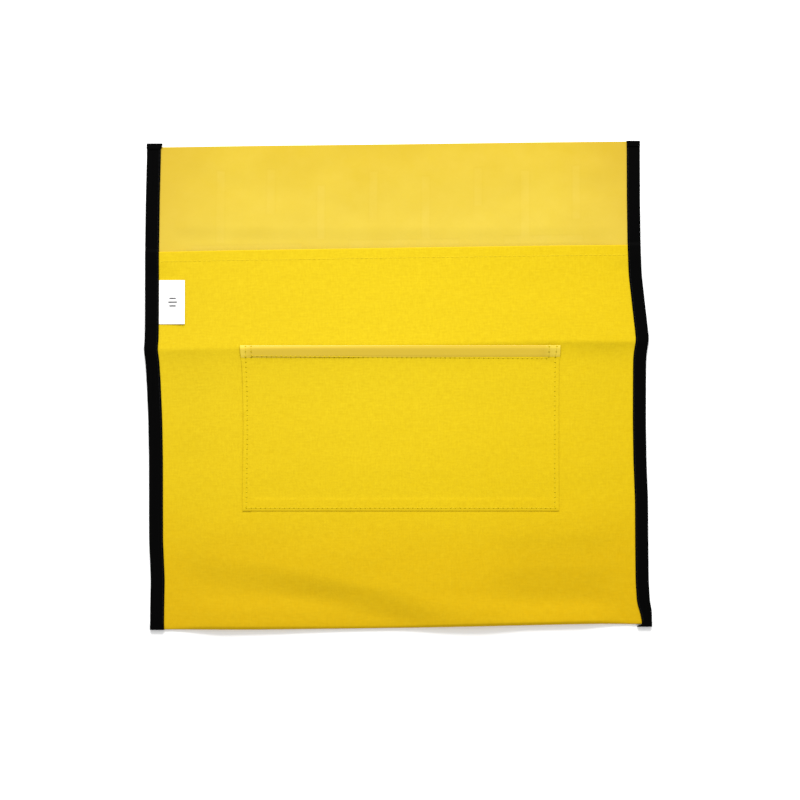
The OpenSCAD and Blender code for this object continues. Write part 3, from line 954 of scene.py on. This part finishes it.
def stitch_row(name, line, surface, slot, nodes, material, body=None, zone=None, holes=True):
    """Stitches along a line of (x, y) from its first point to its last, lying on a surface height."""
    line = np.array(line, float)
    lengths = np.concatenate([[0], np.cumsum(np.linalg.norm(np.diff(line, axis=0), axis=1))])
    count = max(1, int(round(lengths[-1] / STITCH_PITCH)))
    pitch = lengths[-1] / count

    def at(distance):
        x = np.interp(distance, lengths, line[:, 0])
        y = np.interp(distance, lengths, line[:, 1])
        return np.stack([x, y, surface(x, y)], axis=-1)

    shares = np.linspace(0.06, 0.94, 7)
    arch = np.sin(np.pi * (shares - shares[0]) / (shares[-1] - shares[0]))
    distance = (np.arange(count)[:, None] + shares[None, :]) * pitch
    ahead = at(np.minimum(distance + 0.2, lengths[-1])) - at(np.maximum(distance - 0.2, 0))
    ahead /= np.linalg.norm(ahead, axis=2, keepdims=True)
    side = np.cross([0.0, 0.0, 1.0], ahead)
    side /= np.linalg.norm(side, axis=2, keepdims=True)
    wobble = np.random.default_rng(len(name)).normal(0, 0.05, (count, 1, 1))
    centre = at(distance) + side * wobble
    centre[:, :, 2] += THREAD_R * (np.clip(arch, 0, 1) ** 0.6 - 0.75)
    turns = 2 * math.pi * np.arange(THREAD_SIDES) / THREAD_SIDES
    round_thread = [math.cos(a) * side + math.sin(a) * np.cross(ahead, side) for a in turns]
    tube = np.stack([centre + THREAD_R * out for out in round_thread], axis=2)
    tube_uv = np.stack(np.broadcast_arrays(distance[:, :, None], THREAD_R * turns), axis=3)
    vertices, uvs = tube.reshape(-1, 3), tube_uv.reshape(-1, 2)
    faces = []
    for i in range(count):
        rings = [(i * len(shares) + j) * THREAD_SIDES for j in range(len(shares))]
        for here, after in zip(rings[:-1], rings[1:]):
            for k in range(THREAD_SIDES):
                beside = (k + 1) % THREAD_SIDES
                faces.append((here + k, after + k, after + beside, here + beside))
        faces.append(tuple(rings[0] + k for k in range(THREAD_SIDES)))
        faces.append(tuple(rings[-1] + k for k in range(THREAD_SIDES - 1, -1, -1)))
    kinds = [0] * len(faces)
    if holes:
        pits, pit_faces = needle_pits(at(np.arange(count + 1) * pitch), len(vertices))
        vertices = np.concatenate([vertices, pits])
        uvs = np.concatenate([uvs, pits[:, :2]])
        faces += pit_faces
        kinds += [1] * len(pit_faces)
    piece = new_object(name, vertices, faces, uvs, kinds, [material, HOLE])
    attach(piece, slot, *nodes, body=body, zone=zone)


def needle_pits(places, first):
    """Vertices and faces of a small dark plug in each needle hole, numbered from first."""
    turns = 2 * math.pi * np.arange(HOLE_SIDES) / HOLE_SIDES
    rim = np.stack([np.cos(turns) * HOLE_R, np.sin(turns) * HOLE_R, np.full(HOLE_SIDES, 0.05)], axis=1)
    plug = np.concatenate([rim, [[0, 0, -0.35]]])
    vertices = (places[:, None, :] + plug[None, :, :]).reshape(-1, 3)
    faces = []
    for i in range(len(places)):
        base = first + i * (HOLE_SIDES + 1)
        faces.append(tuple(base + k for k in range(HOLE_SIDES)))
        faces += [(base + HOLE_SIDES, base + (k + 1) % HOLE_SIDES, base + k) for k in range(HOLE_SIDES)]
    return vertices, faces


def pocket_surface(x, y):
    """Height of the pocket cloth's outer face."""
    return pocket_middle(x, y) + POCKET_T / 2


def hem_surface(x, y):
    """The hem's face down to its raw edge, and the pocket's own face below that."""
    above_edge = y - POCKET_TOP + hem_depth(x)
    over_hem = smooth((above_edge - 0.1) / 0.3)
    up = above_edge / hem_depth(x)
    roll = HEM_ROLL * smooth(up / 0.75) * smooth((1 - up) / 0.22)
    return pocket_surface(x, y) + 2 * POCKET_TURN * over_hem + roll


def make_pocket_stitches():
    left, right = POCKET_LOW[0], POCKET_HIGH[0]
    bottom = POCKET_LOW[1]
    side_in, bottom_in = 3.6, 3.0
    hem_low = POCKET_TOP - POCKET_HEM_H
    side_y = np.linspace(bottom + bottom_in + 1, hem_low, 30)
    down_left = np.stack([left + left_side(side_y) + side_in, side_y], axis=1)
    down_right = np.stack([right - right_side(side_y) - side_in, side_y], axis=1)
    seam_y = bottom + bottom_in
    along_bottom = [(left + left_side(bottom) + side_in, seam_y), (right - side_in, seam_y)]
    along_hem = [(left + 9.5, hem_low + 1.1), (right - 11.5, hem_low - 0.9)]
    rows = {
        "pocket_left_stitching": (down_left, pocket_surface, "pocket_left_stitches"),
        "pocket_right_stitching": (down_right, pocket_surface, "pocket_right_stitches"),
        "pocket_bottom_stitching": (along_bottom, pocket_surface, "pocket_bottom_stitches"),
        "pocket_hem_stitching": (along_hem, hem_surface, "pocket_hem_stitches"),
    }
    tacks = (("left_tack_outer", left + side_in, 0.0), ("left_tack_inner", left + 8.6, 0.0),
             ("right_tack_outer", right - 3.4, 1.0), ("right_tack_inner", right - 9.4, 0.2))
    for word, x, lean in tacks:
        line = [(x, hem_low + 0.6), (x + lean, POCKET_TOP - 1)]
        rows[f"pocket_{word}"] = (line, hem_surface, f"pocket_{word.rsplit('_', 1)[0]}")
    for name, (line, surface, node) in rows.items():
        stitch_row(name, line, surface, "yellow_thread", [node], YELLOW_THREAD, body="lower")


def make_mouth_stitches():
    """The hem's seam, which shows as fine stitches a little below the mouth."""
    x = np.linspace(left_edge(MOUTH_Y) + TAPE_W + 0.5, right_edge(MOUTH_Y) - TAPE_W - 0.5, 60)
    y = mouth_line(x) - MOUTH_HEM_H + 1.6
    stitch_row("mouth_hem_stitching", np.stack([x, y], axis=1), front_top, "yellow_thread",
               ["front_mouth_hem_stitches"], YELLOW_THREAD, body="upper", holes=False)


def make_tape_stitches(side, word):
    """The seam along the inner edge of a tape's upper leg, which ends short of the turned ends."""
    edge = left_edge if side < 0 else right_edge
    low_end, high_end = TAPE_ENDS[side]
    end_room = 4

    def tape_surface(x, y):
        return stack_top(x, y) + TAPE_SHEET_T + TAPE_LIFT + label_bulge(side, np.asarray(y, float))

    for part, y0, y1, zone, cad_parts in tape_parts(side):
        y = np.linspace(max(y0, low_end + end_room), min(y1, high_end - end_room), 90)
        line = np.stack([edge(y) - side * (tape_width(side, y) - TAPE_SEAM_IN), y], axis=1)
        nodes = [f"{word}_binding_{cad_part}_stitches" for cad_part in cad_parts]
        stitch_row(f"tape_{word}_{part}_stitching", line, tape_surface, "black_thread", nodes,
                   BLACK_THREAD, zone=zone, holes=False)


make_pocket_stitches()
make_mouth_stitches()
for side, word in SIDES:
    make_tape_stitches(side, word)


# ---------------------------------------------------------------- label

LABEL_T = 0.32
LABEL_UNDER = 1.2  # how far it goes in under the binding


def label_height(x, y):
    """The label lies on the front, with its free edge and lower corner lifted a little."""
    out = (x - LABEL_LOW[0]) / (LABEL_HIGH[0] - LABEL_LOW[0])
    up = (y - LABEL_LOW[1]) / (LABEL_HIGH[1] - LABEL_LOW[1])
    curl = 0.55 * np.clip(out, 0, 1) ** 2 + 0.25 * np.clip(out, 0, 1) * (1 - up) ** 2
    wave = 0.1 * np.sin(np.pi * 2.2 * up + 0.6) * np.clip(out, 0, 1)
    return front_top(x, y) + 0.08 + LABEL_T / 2 + curl + wave


def label_grid(x0, x1, y0, y1, columns, rows, lift):
    """Points over a rectangle of the label, lifted off its middle."""
    x, y = np.meshgrid(np.linspace(x0, x1, columns), np.linspace(y0, y1, rows))
    return np.stack([x, y, label_height(x, y) + lift], axis=2)


def make_label():
    x0 = LABEL_LOW[0] - LABEL_UNDER
    middle = label_grid(x0, LABEL_HIGH[0], LABEL_LOW[1], LABEL_HIGH[1], 30, 44, 0)
    piece = sheet_mesh("label_sheet", middle, LABEL_T, [SATIN] * 3, middle[:, :, :2])
    attach(piece, "label_cloth", "label", zone="label")


def make_label_mark():
    """Three short plain bars, as the frame's mark has."""
    low, high = node_box("label_mark")
    centre = (low + high) / 2
    bar_h, pitch, ink_t, lift = 1.5, 3.4, 0.06, 0.2
    bars = []
    for i in (-1, 0, 1):
        half = (high[0] - low[0] - abs(i) * 2) / 2
        x, y = centre[0], centre[1] + i * pitch
        bar = label_grid(x - half, x + half, y - bar_h / 2, y + bar_h / 2, 9, 4, lift)
        bars.append(sheet_mesh(f"bar_{len(bars)}", bar, ink_t, [INK] * 3, bar[:, :, :2]))
    piece = join(bars, "label_print")
    attach(piece, "label_ink", "label_mark", zone="label")


def join(objects, name):
    """Joins objects into one, and names it."""
    with bpy.context.temp_override(active_object=objects[0], selected_editable_objects=objects):
        bpy.ops.object.join()
    objects[0].name = name
    return objects[0]


make_label()
make_label_mark()


# ---------------------------------------------------------------- floor, light and camera

def make_floor():
    size = 4.0
    mesh = bpy.data.meshes.new("floor")
    corners = [(-size, -size, 0), (size, -size, 0), (size, size, 0), (-size, size, 0)]
    mesh.from_pydata(corners, [], [(0, 1, 2, 3)])
    floor = bpy.data.objects.new("floor", mesh)
    bpy.context.scene.collection.objects.link(floor)
    material = bpy.data.materials.new("pale_floor")
    material.use_nodes = True
    shader = material.node_tree.nodes["Principled BSDF"]
    shader.inputs["Base Color"].default_value = (0.96, 0.96, 0.96, 1)
    shader.inputs["Roughness"].default_value = 0.9
    shader.inputs["Specular IOR Level"].default_value = 0.0
    mesh.materials.append(material)


def area_light(name, place, target, size, watts):
    data = bpy.data.lights.new(name, "AREA")
    data.shape = "RECTANGLE"
    data.size, data.size_y = size
    data.energy = watts
    light = bpy.data.objects.new(name, data)
    bpy.context.scene.collection.objects.link(light)
    light.location = place
    direction = np.array(target) - np.array(place)
    light.rotation_euler = Vector(direction).to_track_quat("-Z", "Y").to_euler()


def make_light():
    world = bpy.data.worlds.new("studio")
    bpy.context.scene.world = world
    world.use_nodes = True
    background = world.node_tree.nodes["Background"]
    background.inputs["Color"].default_value = (1, 1, 1, 1)
    background.inputs["Strength"].default_value = 0.83
    area_light("key", (0.0, 2.2, 1.35), (0, 0, 0), (1.8, 1.5), 135)


def make_camera():
    """Straight down, with the object a little above the middle of the view."""
    data = bpy.data.cameras.new("camera")
    data.lens = 135
    data.sensor_width = 36
    camera = bpy.data.objects.new("camera", data)
    bpy.context.scene.collection.objects.link(camera)
    view_w = 0.72  # metres across the view, at the front's height
    front_height = 0.004
    aside, below = 0.00225, 0.0132  # of the object's centre
    distance = view_w * data.lens / data.sensor_width
    camera.location = (aside, -below, front_height + distance)
    camera.rotation_euler = (0, 0, 0)
    bpy.context.scene.camera = camera


make_floor()
make_light()
make_camera()
bpy.context.scene.view_settings.view_transform = "Standard"
